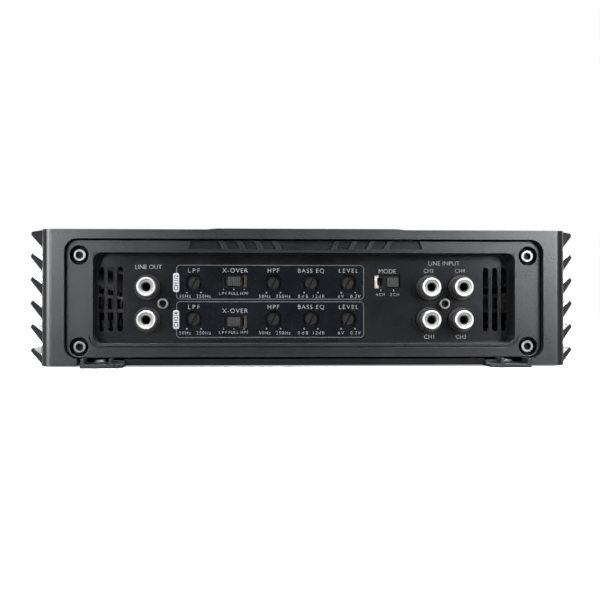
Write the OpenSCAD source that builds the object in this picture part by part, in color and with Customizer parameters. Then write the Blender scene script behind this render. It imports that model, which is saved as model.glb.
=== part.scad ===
// Four-channel car amplifier: extruded heat-sink housing, cast end caps with a
// recessed control panel in front and a recessed terminal panel behind.
// Front faces -Y, +X is right seen from the front, +Z is up.
// Origin: centre of the footprint, on the surface the feet stand on.

/* [Housing] */
// Width across the two side walls, without the fins
body_w = 221.6; // [218:0.2:226]
// Length of the extruded housing
body_l = 300; // [290:10:340]
// Height of the top surface above the mounting surface
top_z = 57.9; // [57.5:0.1:60]
// Thickness of each side wall
wall_t = 9.6; // [9:0.1:10]
// Thickness of the top wall
roof_t = 3.9; // [3.5:0.1:4.2]
// Height of the underside of the side walls
leg_z = 0.6; // [0.5:0.1:0.8]
// Radius of the four upright outer edges
edge_r = 4.5; // [2:0.5:6]
// Height of the shallow crown along the middle of the top
crown_h = 0.4; // [0.2:0.1:0.8]

/* [Fins] */
// Reach of a fin outside the side wall
fin_out = 6.3; // [3:0.1:7]
// Distance from one fin tip to the next
fin_pitch = 10.05; // [9.8:0.05:10.05]
// Height of the tip of the highest free fin
fin_top = 48.3; // [47.9:0.1:48.4]
// Number of free fins on each side below the top fin
fin_n = 5; // [1:1:5]
// Distance from the end of the housing to the root of a fin
fin_inset = 7; // [5:1:12]

/* [End caps] */
// Depth of the cap face behind the end of the housing
cap_in = 4; // [3:0.5:5]
// Height of the lip above the cap face
lip_h = 1; // [0.6:0.2:1.4]
// Depth of the panel face behind the end of the housing
panel_in = 14.2; // [13.8:0.1:16]
// Thickness of each panel
panel_t = 2; // [1.6:0.2:2.2]
// Radius of a screw counterbore
cbore_r = 3.9; // [3.5:0.1:3.9]

/* [Jacks] */
// Radius of a jack shell
shell_r = 4.15; // [4.1:0.05:4.2]
// Free length of a jack shell in front of its collar
shell_l = 7.8; // [7:0.1:8]
// Radius of a jack collar
collar_r = 5.5; // [5.2:0.1:5.6]
// Height of the upper row of jacks
jack_hi = 33.85; // [33.5:0.05:34.5]
// Height of the lower row of jacks
jack_lo = 19.8; // [19.8:0.05:20.4]

/* [Controls] */
// Radius of a trimmer shaft
shaft_r = 2.65; // [2.4:0.05:2.8]
// Running clearance round a trimmer shaft
shaft_gap = 0.05; // [0.03:0.01:0.1]
// Radius of a trimmer hole in the panel
pot_hole_r = 3.5; // [3.2:0.1:3.7]
// Clockwise lean of a trimmer slot from upright, in degrees
slot_lean = 27; // [-140:1:140]
// Height of the upper row of trimmers
pot_hi = 35.7; // [35:0.1:36.5]
// Height of the lower row of trimmers
pot_lo = 20.0; // [19.8:0.1:20.6]
// Height of the upper crossover switch
xo_hi = 36.5; // [35.5:0.1:37]
// Height of the lower crossover switch
xo_lo = 19.0; // [19:0.1:20]
// Height of the mode switch
mode_z = 36.4; // [35.5:0.1:37]

/* [Rear terminals] */
// Number of speaker ways
spk_n = 8; // [4:2:8]
// Distance from one speaker way to the next
spk_pitch = 9; // [8.6:0.1:9]
// Half-width of a square speaker wire entry
spk_hw = 2.7; // [2.6:0.05:2.8]
// Radius of a power wire entry
pwr_r = 4.5; // [4.2:0.1:4.6]

/* [Feet] */
// Reach of a foot beyond the end of the housing
foot_out = 11; // [10:0.5:14]
// Thickness of a foot where it stands out
foot_t = 1.6; // [1.4:0.1:1.8]
// Half-width of a mounting slot
mslot_r = 2.3; // [2:0.1:2.5]
// End-to-end length of a mounting slot
mslot_l = 8.4; // [6:0.2:8.6]

/* [Hidden] */
$fn = 48;
e = 0.01;

black = [0.09, 0.09, 0.10];
satin = [0.13, 0.13, 0.14];
steel = [0.62, 0.62, 0.64];
brass = [0.78, 0.62, 0.30];
copper = [0.72, 0.38, 0.18];
board = [0.05, 0.25, 0.13];

hw = body_w / 2;              // outer half-width
hl = body_l / 2;              // half-length
in_hw = hw - wall_t;          // half-width of the opening
in_lo = leg_z + 3;            // floor of the opening
in_hi = top_z - roof_t;       // roof of the opening
mid_z = (in_lo + in_hi) / 2;
in_r = 5.5;                   // corner radius of the opening
gap = 0.5;                    // gap round a cap or panel
leg_in = in_hw - 5.3;         // inner face of a leg at the bottom

cap_y = -hl + cap_in;         // cap face
lip_y = cap_y - lip_h;        // lip and trim face
pan_y = -hl + panel_in;       // panel face
pan_b = pan_y + panel_t;      // back of the panel
boss_y = pan_b + 0.2;         // end of a screw boss

cap_hw = in_hw - gap;
cap_lo = in_lo + gap;
cap_hi = in_hi - gap;

tub_hw = in_hw - 11.7;        // recess half-width
tub_lo = 10.0;                // recess floor height
tub_hi = in_hi - 5.75;         // recess roof height

scr_x = in_hw - 5.75;         // corner screws
scr_hi = in_hi - 6.8;
scr_lo = 8.5;

plate_lo = 0.8;               // bottom plate
plate_hi = 2.0;
pcb_lo = 13;
pcb_hi = 14.6;

jack_pos = [[-67.6, jack_hi], [-67.6, jack_lo], [54.1, jack_hi], [68.1, jack_hi], [54.1, jack_lo], [68.1, jack_lo]];
pscrew_x = 60.9;
pscrew_z = 26.8;
pot_x = [-47.7, -13.4, 2.9, 19.0];
xo_x = -30.4;
mode_x = 36.2;
vent_off = [2.2, 6.1, 10.2];   // vent slots, inward from the recess wall
vent_w = 2.5;
vent_l = 27.9;
vent_z = 28.7;

spk_x0 = -67.5;
pwr_x = [40.5, 54, 67.5];
fuse_x = [11, 22];
blk_lo = pcb_hi;
blk_hi = 41;

foot_x = 86.6;                // middle of a foot's channel
foot_y = hl + foot_out / 2;   // middle of a mounting slot

// ---------- helpers ----------
// flat (x, z) outline carried from y0 to y1
module xz(y0, y1) { translate([0, y1, 0]) rotate([90, 0, 0]) linear_extrude(y1 - y0) children(); }
// cylinder along Y
module ycyl(x, z, r, y0, y1) { translate([x, y1, z]) rotate([90, 0, 0]) cylinder(r = r, h = y1 - y0); }
// cone along Y: radius ra at y0, rb at y1
module ycone(x, z, ra, rb, y0, y1) { translate([x, y1, z]) rotate([90, 0, 0]) cylinder(r1 = rb, r2 = ra, h = y1 - y0); }
module box(a, b) { translate(a) cube(b - a); }
module mx() { children(); mirror([1, 0, 0]) children(); }
module my() { children(); mirror([0, 1, 0]) children(); }
// rounded rectangle between two corners
module rrect(x0, z0, x1, z1, r) {
  translate([x0 + r, z0]) square([x1 - x0 - 2 * r, z1 - z0]);
  translate([x0, z0 + r]) square([x1 - x0, z1 - z0 - 2 * r]);
  for (x = [x0 + r, x1 - r], z = [z0 + r, z1 - r]) translate([x, z]) circle(r);
}
// upright slot with round ends, (x, z) centre
module vslot(x, z, w, l) {
  translate([x - w / 2, z - l / 2 + w / 2]) square([w, l - w]);
  for (s = [-1, 1]) translate([x, z + s * (l / 2 - w / 2)]) circle(w / 2);
}

// ---------- housing ----------
module housing_outline() {
  polygon([[-hw, leg_z], [-hw, top_z], [-42, top_z], [-38, top_z + crown_h], [38, top_z + crown_h],
           [42, top_z], [hw, top_z], [hw, leg_z]]);
}
// fins of the right side: blades that rise outward, and the top fin
module fin_outline() {
  for (i = [0:fin_n - 1]) {
    t = fin_top - i * fin_pitch;
    polygon([[hw - 1, t - 4.3], [hw, t - 3.6], [hw + fin_out - 0.95, t], [hw + fin_out, t - 1.0],
             [hw + fin_out - 0.1, t - 1.7], [hw, max(t - 8.55, leg_z)], [hw - 1, max(t - 8.55, leg_z)]]);
  }
  polygon([[hw - 1, top_z], [hw, top_z], [hw + fin_out - 0.7, top_z - 0.4], [hw + fin_out - 0.2, top_z - 1.0],
           [hw + fin_out - 0.3, top_z - 1.9], [hw, top_z - 7.9], [hw - 1, top_z - 7.9]]);
}
module fins() {
  difference() {
    xz(-hl + fin_inset, hl - fin_inset) fin_outline();
    my() translate([hw, -hl + fin_inset, 0]) rotate([0, 0, 45]) translate([-5, -30, -10]) cube([40, 30, 90]);
  }
}
// ribs that carry the corner screws
module screw_boss(z) {
  ycyl(scr_x, z, 3.2, boss_y, -boss_y);
  box([scr_x, boss_y, z - 1.3], [in_hw + 1, -boss_y, z + 1.3]);
}
// shallow milled groove in the top
module top_groove(x, l) {
  box([x - 1.5, -l, top_z - 1], [x + 1.5, l, top_z + 2]);
  for (s = [-1, 1]) translate([x, s * l, top_z - 1]) cylinder(r = 1.5, h = 3);
}
module heatsink_housing() color(black) difference() {
  union() {
    difference() {
      xz(-hl, hl) housing_outline();
      // opening for the caps and the works
      xz(-hl - 1, hl + 1) rrect(-in_hw, in_lo, in_hw, in_hi, in_r);
      // open underside, wider near the ends where the feet are
      box([-84, -hl - 1, leg_z - 1], [84, hl + 1, in_lo + 2]);
      box([-leg_in, -hl - 1, leg_z - 1], [leg_in, hl + 1, plate_hi]);
      my() box([-leg_in, -hl - 1, leg_z - 1], [leg_in, -hl + 30, in_lo + 1]);
      // rounded upright edges
      mx() my() translate([hw - edge_r, -hl + edge_r, 0]) difference() {
        translate([0, -edge_r - 1, -1]) cube([edge_r + 1, edge_r + 1, 80]);
        translate([0, 0, -2]) cylinder(r = edge_r, h = 82);
      }
      // milled grooves in the top
      mx() for (i = [0:3]) top_groove(52 + 12 * i, hl - 22 - 7 * i);
      // pocket for the badge
      box([-28, -hl + 3, top_z + crown_h - 0.4], [28, -hl + 17, top_z + crown_h + 1]);
    }
    mx() fins();
    mx() for (z = [scr_lo, scr_hi]) screw_boss(z);
  }
  // tapped holes for the corner screws
  mx() my() for (z = [scr_lo, scr_hi]) ycyl(scr_x, z, 1.5, boss_y - 1, boss_y + 14);
  // tapped holes for the clamp bar screws
  mx() for (y = [-96:48:96]) translate([in_hw - 1, y, 27.5]) rotate([0, 90, 0]) cylinder(r = 1.5, h = 7);
  // tapped holes for the bottom plate screws
  mx() for (y = [-100:40:100]) translate([89, y, plate_hi - 1]) cylinder(r = 1.45, h = 3.5);
}
// low plate with plain slanted ribs
module top_badge() color(satin) {
  b = top_z + crown_h - 0.4;
  box([-27.9, -hl + 3.1, b], [27.9, -hl + 16.9, b + 0.45]);
  for (i = [-3:3]) translate([7.4 * i, 0, b + 0.45 - e]) linear_extrude(0.3 + e)
    polygon([[-3.4, -hl + 4.5], [1.6, -hl + 4.5], [3.6, -hl + 15.5], [-1.4, -hl + 15.5]]);
}

// ---------- end caps ----------
// raised trim along the top of the cap, between two slanted ends
module trim_outline() {
  h = cap_hi - 0.3;
  polygon([[-78.4, h], [78.4, h], [76.5, tub_hi + 1], [-76.5, tub_hi + 1]]);
}
// windows between the slanted bars, right half
module trim_windows() {
  t = cap_hi + 1;
  b = tub_hi + 1.6;
  k = (t - b) * 0.52;     // lean of the bars away from the middle
  polygon([[-1, t], [10.4 + k, t], [10.4, b], [-1, b]]);
  for (x = [12.55, 20.1, 27.6]) polygon([[x + k, t], [x + 5.35 + k, t], [x + 5.35, b], [x, b]]);
  polygon([[35.1 + k, t], [49.7 - k * 0.7, t], [49.7, b], [35.1, b]]);
}
module end_cap() difference() {
  union() {
    // face plate
    xz(cap_y, cap_y + 2.5) rrect(-cap_hw, cap_lo, cap_hw, cap_hi, in_r - gap);
    // recess walls
    xz(cap_y + 2.5 - e, pan_y) rrect(-tub_hw - 1.3, tub_lo - 1.3, tub_hw + 1.3, tub_hi + 1.3, 4.9);
    // lip and trim
    xz(lip_y, cap_y + e) rrect(-tub_hw - 1.2, tub_lo - 1.2, tub_hw + 1.2, tub_hi + 1.2, 4.8);
    xz(lip_y, cap_y + e) trim_outline();
    // screw posts
    mx() for (z = [scr_lo, scr_hi]) ycyl(scr_x, z, 4.35, cap_y + 1, pan_y);
  }
  // recess
  xz(lip_y - 1, pan_y + 1) rrect(-tub_hw, tub_lo, tub_hw, tub_hi, 3.6);
  // groove under the lip and round its lower corners
  xz(lip_y - 1, cap_y + 0.5) difference() {
    rrect(-tub_hw - 1.8, tub_lo - 1.9, tub_hw + 1.8, tub_hi + 1.5, 5.2);
    rrect(-tub_hw - 1.2, tub_lo - 1.2, tub_hw + 1.2, tub_hi + 1.2, 4.8);
    translate([-tub_hw - 3, tub_lo + 3]) square([2 * tub_hw + 6, tub_hi]);
  }
  // windows in the trim
  mx() xz(lip_y - 1, cap_y + 0.6) trim_windows();
  // counterbores and screw holes
  mx() for (z = [scr_lo, scr_hi]) {
    ycyl(scr_x, z, cbore_r, cap_y - 1, cap_y + 4.2);
    ycone(scr_x, z, cbore_r + 0.2, cbore_r, cap_y - e, cap_y + 0.2);
    ycyl(scr_x, z, 1.65, cap_y + 1, pan_y + 1);
  }
}
module front_end_cap() color(black) end_cap();
module rear_end_cap() color(black) mirror([0, 1, 0]) end_cap();

// socket-head screw along +Y: head front face at y0
module socket_screw(x, z, y0, rh, hh, rs, ls, af) difference() {
  union() {
    ycone(x, z, rh - 0.3, rh, y0, y0 + 0.3);
    ycyl(x, z, rh, y0 + 0.3, y0 + hh);
    ycyl(x, z, rs, y0 + hh - e, y0 + hh + ls);
  }
  translate([x, y0 + hh * 0.6, z]) rotate([90, 0, 0]) cylinder(r = af / 2 / cos(30), h = hh, $fn = 6);
}
module end_cap_screws() color(steel)
  my() mx() for (z = [scr_lo, scr_hi]) socket_screw(scr_x, z, cap_y + 1.2, 2.75, 3, 1.5, pan_b - cap_y - 4.2 + 10, 2.5);
module front_panel_screws() color(steel)
  mx() socket_screw(pscrew_x, pscrew_z, pan_y - 3.2, 2.45, 3.2, 1.5, panel_t + 8, 2.5);

// ---------- panels ----------
module panel_blank() difference() {
  xz(pan_y, pan_b) rrect(-cap_hw, cap_lo, cap_hw, cap_hi, in_r - gap);
  mx() for (o = vent_off) xz(pan_y - 1, pan_b + 1) vslot(tub_hw - o, vent_z, vent_w, vent_l);
  mx() for (z = [scr_lo, scr_hi]) ycyl(scr_x, z, 1.65, pan_y - 1, pan_b + 1);
}
module front_control_panel() color(satin) difference() {
  panel_blank();
  for (p = jack_pos) ycyl(p[0], p[1], collar_r + 0.15, pan_y - 1, pan_b + 1);
  mx() ycyl(pscrew_x, pscrew_z, 1.65, pan_y - 1, pan_b + 1);
  for (x = pot_x, z = [pot_hi, pot_lo]) {
    ycyl(x, z, pot_hole_r, pan_y - 1, pan_b + 1);
    ycone(x, z, pot_hole_r + 0.4, pot_hole_r, pan_y - e, pan_y + 0.5);
  }
  for (z = [xo_hi, xo_lo]) box([xo_x - 5.4, pan_y - 1, z - 2.7], [xo_x + 5.4, pan_b + 1, z + 2.7]);
  box([mode_x - 5.65, pan_y - 1, mode_z - 2.9], [mode_x + 5.65, pan_b + 1, mode_z + 2.9]);
}
module rear_terminal_panel() color(satin) difference() {
  mirror([0, 1, 0]) panel_blank();
  box([spk_x0 - 5.2, -pan_b - 1, blk_lo - 0.2], [spk_x0 + spk_pitch * (spk_n - 1) + 5.2, -pan_y + 1, blk_hi + 0.2]);
  box([pwr_x[0] - 7.7, -pan_b - 1, blk_lo - 0.2], [pwr_x[2] + 7.7, -pan_y + 1, blk_hi + 0.2]);
  box([4.8, -pan_b - 1, blk_lo - 0.2], [28.2, -pan_y + 1, blk_hi + 0.2]);
  for (x = fuse_x) ycyl(x, 44.4, 1.6, -pan_b - 1, -pan_y + 1);
}

// ---------- jacks ----------
jk_y = pan_y - 2;             // front of the collars
// moulded block behind the panel with a collar for each jack
module jack_block(x0, x1, list, sx) difference() {
  union() {
    box([x0, pan_b, pcb_hi], [x1, pan_b + 13.5, 41]);
    for (p = list) ycyl(p[0], p[1], collar_r, jk_y, pan_b + 1);
  }
  for (p = list) {
    ycyl(p[0], p[1], 3.9, jk_y - 1, jk_y + 8.5);
    ycyl(p[0], p[1], 3.0, jk_y - 1, jk_y + 10.5);
  }
  ycyl(sx, pscrew_z, 1.5, pan_b - 1, pan_b + 9);
}
module line_out_block() color(black) jack_block(-75.1, -57.5, [jack_pos[0], jack_pos[1]], -pscrew_x);
module line_in_block() color(black) jack_block(46.7, 75.5, [for (i = [2:5]) jack_pos[i]], pscrew_x);
// nickel shell: free barrel in front, thinner root in the block
module jack_shells() color(steel) for (p = jack_pos) translate([p[0], jk_y, p[1]]) rotate([90, 0, 0])
  rotate_extrude() polygon([[3.0, -8.5], [3.9, -8.5], [3.9, 0], [shell_r, 0], [shell_r, shell_l - 0.3],
    [shell_r - 0.3, shell_l], [3.25, shell_l], [3.0, shell_l - 0.25]]);
module jack_insulators() color([0.55, 0.55, 0.55]) for (p = jack_pos) translate([p[0], jk_y, p[1]]) rotate([90, 0, 0])
  rotate_extrude() polygon([[0, -10.5], [3.0, -10.5], [3.0, shell_l - 0.6], [2.15, shell_l - 0.6], [1.95, shell_l - 0.8], [1.95, -7.5], [0, -7.5]]);
module jack_center_contacts() color(brass) for (p = jack_pos) translate([p[0], jk_y, p[1]]) rotate([90, 0, 0])
  rotate_extrude() polygon([[1.6, -7.5], [1.95, -7.5], [1.95, shell_l - 2.5], [1.6, shell_l - 2.5]]);

// ---------- trimmers ----------
pot_f = pan_b + 0.7;          // front of a potentiometer body
ctl_y = pan_b + 8.9;          // front of the control board
module potentiometer_bodies() color([0.16, 0.17, 0.2]) for (x = pot_x, z = [pot_hi, pot_lo]) difference() {
  union() {
    box([x - 4.8, pot_f, z - 4.8], [x + 4.8, ctl_y, z + 4.8]);
    ycyl(x, z, 4.2, pot_f - 0.4, pot_f + 1);
  }
  ycyl(x, z, shaft_r + shaft_gap, pot_f - 1, pot_f + 5.3);
}
// slotted shaft, set back in its panel hole
module pot_shaft(x, z) color([0.30, 0.30, 0.31]) difference() {
  union() {
    ycone(x, z, shaft_r - 0.25, shaft_r, pan_y + 1.1, pan_y + 1.35);
    ycyl(x, z, shaft_r, pan_y + 1.35 - e, pot_f + 5.2);
  }
  translate([x, pan_y + 1.1, z]) rotate([0, slot_lean, 0]) cube([0.8, 2.4, 12], center = true);
}
module lpf_shaft_upper() pot_shaft(pot_x[0], pot_hi);
module hpf_shaft_upper() pot_shaft(pot_x[1], pot_hi);
module bass_shaft_upper() pot_shaft(pot_x[2], pot_hi);
module level_shaft_upper() pot_shaft(pot_x[3], pot_hi);
module lpf_shaft_lower() pot_shaft(pot_x[0], pot_lo);
module hpf_shaft_lower() pot_shaft(pot_x[1], pot_lo);
module bass_shaft_lower() pot_shaft(pot_x[2], pot_lo);
module level_shaft_lower() pot_shaft(pot_x[3], pot_lo);

// ---------- slide switches ----------
sw_pos = [[xo_x, xo_hi], [xo_x, xo_lo], [mode_x, mode_z]];
sw_f = pan_b + 0.1;           // front of a switch frame
module slide_switch_frames() color(steel) for (p = sw_pos) difference() {
  box([p[0] - 8, sw_f, p[1] - 4.2], [p[0] + 8, sw_f + 5, p[1] + 4.2]);
  box([p[0] - 7.2, sw_f + 0.8, p[1] - 3.4], [p[0] + 7.2, sw_f + 6, p[1] + 3.4]);
  box([p[0] - 4.3, sw_f - 1, p[1] - 1.7], [p[0] + 4.3, sw_f + 2, p[1] + 1.7]);
}
module slide_switch_bases() color([0.35, 0.2, 0.1]) for (p = sw_pos)
  box([p[0] - 7.8, sw_f + 5, p[1] - 4], [p[0] + 7.8, ctl_y, p[1] + 4]);
// ribbed slider: cap in the window, stem in the frame, carriage behind
module slider(x, z, w, h) color([0.33, 0.33, 0.33]) {
  difference() {
    box([x - w / 2, pan_y - 0.5, z - h / 2], [x + w / 2, sw_f - 0.3, z + h / 2]);
    for (i = [-2:2]) box([x + i * 0.86 - 0.2, pan_y - 1, z - h / 2 - 1], [x + i * 0.86 + 0.2, pan_y - 0.1, z + h / 2 + 1]);
  }
  box([x - 1.6, sw_f - 0.3 - e, z - 1.5], [x + 1.6, sw_f + 2 + e, z + 1.5]);
  box([x - 3.8, sw_f + 2, z - 3.2], [x + 3.8, sw_f + 3.2, z + 3.2]);
}
module crossover_slider_upper() slider(xo_x, xo_hi, 5.1, 3.9);
module crossover_slider_lower() slider(xo_x, xo_lo, 5.1, 3.9);
module mode_slider() slider(mode_x + 2.3, mode_z - 0.2, 4.8, 4.0);

// ---------- boards ----------
module control_board() color(board) box([-56.3, ctl_y, pcb_hi], [45.9, ctl_y + 1.6, 46]);
so_pos = [[-78, -112], [78, -112], [-78, -38], [78, -38], [-78, 38], [78, 38], [-78, 112], [78, 112]];
module main_circuit_board() color(board) difference() {
  box([-in_hw + 2, pan_b + 0.7, pcb_lo], [in_hw - 2, -pan_b - 0.7, pcb_hi]);
  for (p = so_pos) translate([p[0], p[1], 0]) cylinder(r = 1.6, h = 20);
}
module board_standoffs() color(brass) for (p = so_pos) translate([p[0], p[1], 0]) difference() {
  translate([0, 0, plate_hi]) cylinder(r = 3.2, h = pcb_lo - plate_hi, $fn = 6);
  translate([0, 0, plate_hi - 1]) cylinder(r = 1.45, h = 5);
  translate([0, 0, pcb_lo - 5]) cylinder(r = 1.45, h = 6);
}
module board_screws() color(steel) for (p = so_pos) translate([p[0], p[1], 0]) difference() {
  union() {
    translate([0, 0, pcb_hi]) cylinder(r = 2.75, h = 2);
    translate([0, 0, pcb_lo - 4]) cylinder(r = 1.45, h = pcb_hi - pcb_lo + 4 + e);
  }
  for (a = [0, 90]) rotate([0, 0, a]) translate([-1.6, -0.4, pcb_hi + 0.9]) cube([3.2, 0.8, 3]);
}

// ---------- bottom plate and feet ----------
bp_pos = concat([for (s = [-1, 1], y = [-100:40:100]) [s * 89, y]], so_pos);
rv_pos = [[foot_x, hl - 6], [foot_x, hl - 20]];
module bottom_plate() color(black) difference() {
  union() {
    box([-leg_in + 0.5, -hl + 0.7, plate_lo], [leg_in - 0.5, hl - 0.7, plate_hi]);
    my() box([-75.9, -hl + 0.7, plate_lo], [75.9, -hl + 1.9, plate_lo + 2.6]);
  }
  for (p = bp_pos) translate([p[0], p[1], 0]) cylinder(r = 1.6, h = 10);
  mx() my() for (p = rv_pos) translate([p[0], p[1], 0]) cylinder(r = 1.6, h = 10);
}
module bottom_plate_screws() color(steel) for (p = bp_pos) translate([p[0], p[1], 0]) difference() {
  union() {
    translate([0, 0, plate_lo - 0.6]) cylinder(r = 2.75, h = 0.6);
    translate([0, 0, plate_lo - e]) cylinder(r = 1.45, h = 3.2);
  }
  for (a = [0, 90]) rotate([0, 0, a]) translate([-1.5, -0.35, plate_lo - 2]) cube([3, 0.7, 1.6]);
}
// cast foot: thin tongue under the plate, channel with two ribs outside, slot across it
module foot() color(black) difference() {
  union() {
    xz(hl - 26, hl - 0.7) polygon([[75.9, 0.5], [75.9, plate_lo], [93.3, plate_lo], [93.3, 0], [79.8, 0]]);
    xz(hl - 0.7 - e, hl + foot_out) polygon([[75.9, 0.5], [75.9, foot_t], [93.3, foot_t], [93.3, 0], [79.8, 0]]);
    for (x = [80.4, 91.7]) box([x, hl, foot_t - e], [x + 1.2, hl + foot_out, 4.0]);
    box([75.9, hl, foot_t - e], [80.5, hl + 2.5, 3.0]);
  }
  for (s = [-1, 1]) translate([foot_x + s * (mslot_l / 2 - mslot_r), foot_y, -1]) cylinder(r = mslot_r, h = 8);
  box([foot_x - mslot_l / 2 + mslot_r, foot_y - mslot_r, -1], [foot_x + mslot_l / 2 - mslot_r, foot_y + mslot_r, 7]);
  for (p = rv_pos) translate([p[0], p[1], -1]) cylinder(r = 1.6, h = 8);
}
module foot_front_left() mirror([1, 0, 0]) mirror([0, 1, 0]) foot();
module foot_front_right() mirror([0, 1, 0]) foot();
module foot_rear_left() mirror([1, 0, 0]) foot();
module foot_rear_right() foot();
module foot_rivets() color(steel) mx() my() for (p = rv_pos) translate([p[0], p[1], 0]) {
  translate([0, 0, 0.1]) cylinder(r = 1.6, h = plate_hi - 0.1 + e);
  translate([0, 0, plate_hi]) cylinder(r1 = 2.9, r2 = 2.2, h = 1.1);
}

// ---------- rear terminals ----------
ty = -pan_y + 10.5;           // face of the terminal blocks
tb = -pan_b - 12.5;           // back of the terminal blocks
function spk_x(i) = spk_x0 + i * spk_pitch;
module speaker_terminal_block() color(black) difference() {
  box([spk_x0 - 5, tb, blk_lo], [spk_x(spk_n - 1) + 5, ty, blk_hi]);
  for (i = [0:spk_n - 1]) {
    box([spk_x(i) - spk_hw, tb + 3, 22 - spk_hw], [spk_x(i) + spk_hw, ty + 1, 22 + spk_hw]);
    ycyl(spk_x(i), 33.5, 2.75, tb + 8, ty + 1);
  }
}
module speaker_terminal_contacts() color(brass) for (i = [0:spk_n - 1]) difference() {
  box([spk_x(i) - spk_hw, tb + 3, 22 - spk_hw], [spk_x(i) + spk_hw, tb + 13, 22 + spk_hw]);
  box([spk_x(i) - spk_hw + 0.5, tb + 4, 22 - spk_hw + 0.5], [spk_x(i) + spk_hw - 0.5, tb + 14, 22 + spk_hw - 0.5]);
}
// slotted clamp screw, head towards +Y
module clamp_screw(x, z, r) difference() {
  union() {
    ycyl(x, z, r, ty - 10, ty - 1.6);
    ycone(x, z, r, r - 0.3, ty - 1.6 - e, ty - 1.2);
  }
  translate([x, ty - 1.2, z]) cube([r * 3, 2.4, 0.9], center = true);
}
module speaker_terminal_screws() color(steel) for (i = [0:spk_n - 1]) clamp_screw(spk_x(i), 33.5, 2.65);
pwr_rr = [pwr_r, 2.6, pwr_r];
pwr_sr = [3.6, 2.65, 3.6];
module power_terminal_block() color(black) difference() {
  box([pwr_x[0] - 7.5, tb, blk_lo], [pwr_x[2] + 7.5, ty, blk_hi]);
  for (i = [0:2]) {
    ycyl(pwr_x[i], 22.5, pwr_rr[i], tb + 3, ty + 1);
    ycyl(pwr_x[i], 34, pwr_sr[i] + 0.1, tb + 8, ty + 1);
  }
}
module power_terminal_contacts() color(brass) for (i = [0:2]) difference() {
  ycyl(pwr_x[i], 22.5, pwr_rr[i], tb + 3, tb + 14);
  ycyl(pwr_x[i], 22.5, pwr_rr[i] - 0.5, tb + 4, tb + 15);
}
module power_terminal_screws() color(steel) for (i = [0:2]) clamp_screw(pwr_x[i], 34, pwr_sr[i]);

// ---------- fuses ----------
fy = -pan_y + 2;              // face of the fuse holder
fz = 28;
module fuse_holder() color(black) difference() {
  box([5, tb, blk_lo], [28, fy, blk_hi]);
  for (x = fuse_x, s = [-1, 1]) box([x - 0.55, tb + 4, fz + s * 7 - 2.75], [x + 0.55, fy + 1, fz + s * 7 + 2.75]);
}
// blade fuse: moulded body and two blades
module blade_fuse(x) color([0.25, 0.65, 0.3]) {
  difference() {
    box([x - 2.6, fy + 0.2, fz - 9.5], [x + 2.6, fy + 11.8, fz + 9.5]);
    for (s = [-1, 1]) box([x + s * 2.1 - 0.6, fy + 6.5, fz - 6.5], [x + s * 2.1 + 0.6, fy + 9, fz + 6.5]);
  }
  for (s = [-1, 1]) box([x - 0.4, fy - 8, fz + s * 7 - 2.55], [x + 0.4, fy + 0.2 + e, fz + s * 7 + 2.55]);
}
module fuse_left() blade_fuse(fuse_x[0]);
module fuse_right() blade_fuse(fuse_x[1]);
module status_leds() color([0.2, 0.5, 0.9]) for (x = fuse_x) {
  ycyl(x, 44.4, 1.5, -pan_b - 5, -pan_y + 0.4);
  translate([x, -pan_y + 0.4, 44.4]) sphere(r = 1.5);
}

// ---------- power stage ----------
tr_y = [-84, -60, -36, -12, 12, 36, 60, 84];
module output_transistors() color([0.12, 0.12, 0.12]) mx() for (y = tr_y) {
  box([in_hw - 4.8, y - 5, 19], [in_hw - 0.3, y + 5, 35]);
  for (s = [-1, 0, 1]) box([in_hw - 3, y + s * 2.54 - 0.4, pcb_hi], [in_hw - 2.4, y + s * 2.54 + 0.4, 19 + e]);
}
module transistor_pads() color([0.75, 0.75, 0.7]) mx() for (y = tr_y) box([in_hw - 0.3, y - 6, 17.5], [in_hw, y + 6, 37]);
module transistor_clamp_bars() color(steel) mx() difference() {
  box([in_hw - 7, -102, 23], [in_hw - 4.8, 102, 32]);
  for (y = [-96:48:96]) translate([in_hw - 8, y, 27.5]) rotate([0, 90, 0]) cylinder(r = 1.6, h = 5);
}
module clamp_bar_screws() color(steel) mx() for (y = [-96:48:96]) translate([in_hw, y, 27.5]) rotate([0, 90, 0]) {
  translate([0, 0, -9.6]) cylinder(r = 2.75, h = 2.6);
  translate([0, 0, -7 - e]) cylinder(r = 1.5, h = 12);
}
tf = [0, 8];                  // transformer centre
tf_z = 26;
module transformer_core() color([0.2, 0.2, 0.22]) translate([tf[0], tf[1], tf_z]) rotate_extrude()
  translate([13, -7.5]) square([10, 15]);
// wire turns round the core, one closed loop every 15 degrees
module transformer_windings() color(copper) translate([tf[0], tf[1], tf_z]) for (i = [0:23]) rotate([0, 0, i * 15]) difference() {
  box([11, -1.1, -9.5], [25, 1.1, 9.5]);
  box([12.9, -2, -7.5], [23, 2, 7.5]);
}
ind_pos = [[-60, -66], [60, -66], [-60, -12], [60, -12]];
module output_inductor_cores() color([0.15, 0.15, 0.16]) for (p = ind_pos) translate([p[0], p[1], pcb_hi]) rotate_extrude()
  polygon([[0, 0], [10, 0], [10, 2.5], [5, 2.5], [5, 13.5], [10, 13.5], [10, 16], [0, 16]]);
module output_inductor_windings() color(copper) for (p = ind_pos) translate([p[0], p[1], pcb_hi]) rotate_extrude()
  polygon([[5, 2.6], [9.2, 2.6], [9.2, 13.4], [5, 13.4]]);
cap_pos = [[-42, 72], [-16, 72], [16, 72], [42, 72], [-50, 42], [50, 42]];
module filter_capacitors() color([0.1, 0.12, 0.3]) for (p = cap_pos) translate([p[0], p[1], pcb_hi]) rotate_extrude()
  polygon([[0, 0], [10.5, 0], [11, 0.5], [11, 3], [10.4, 3.5], [10.4, 4], [11, 4.5], [11, 33], [10.3, 33.7], [9.6, 33.7], [9.6, 33.2], [0, 33.2]]);
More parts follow.
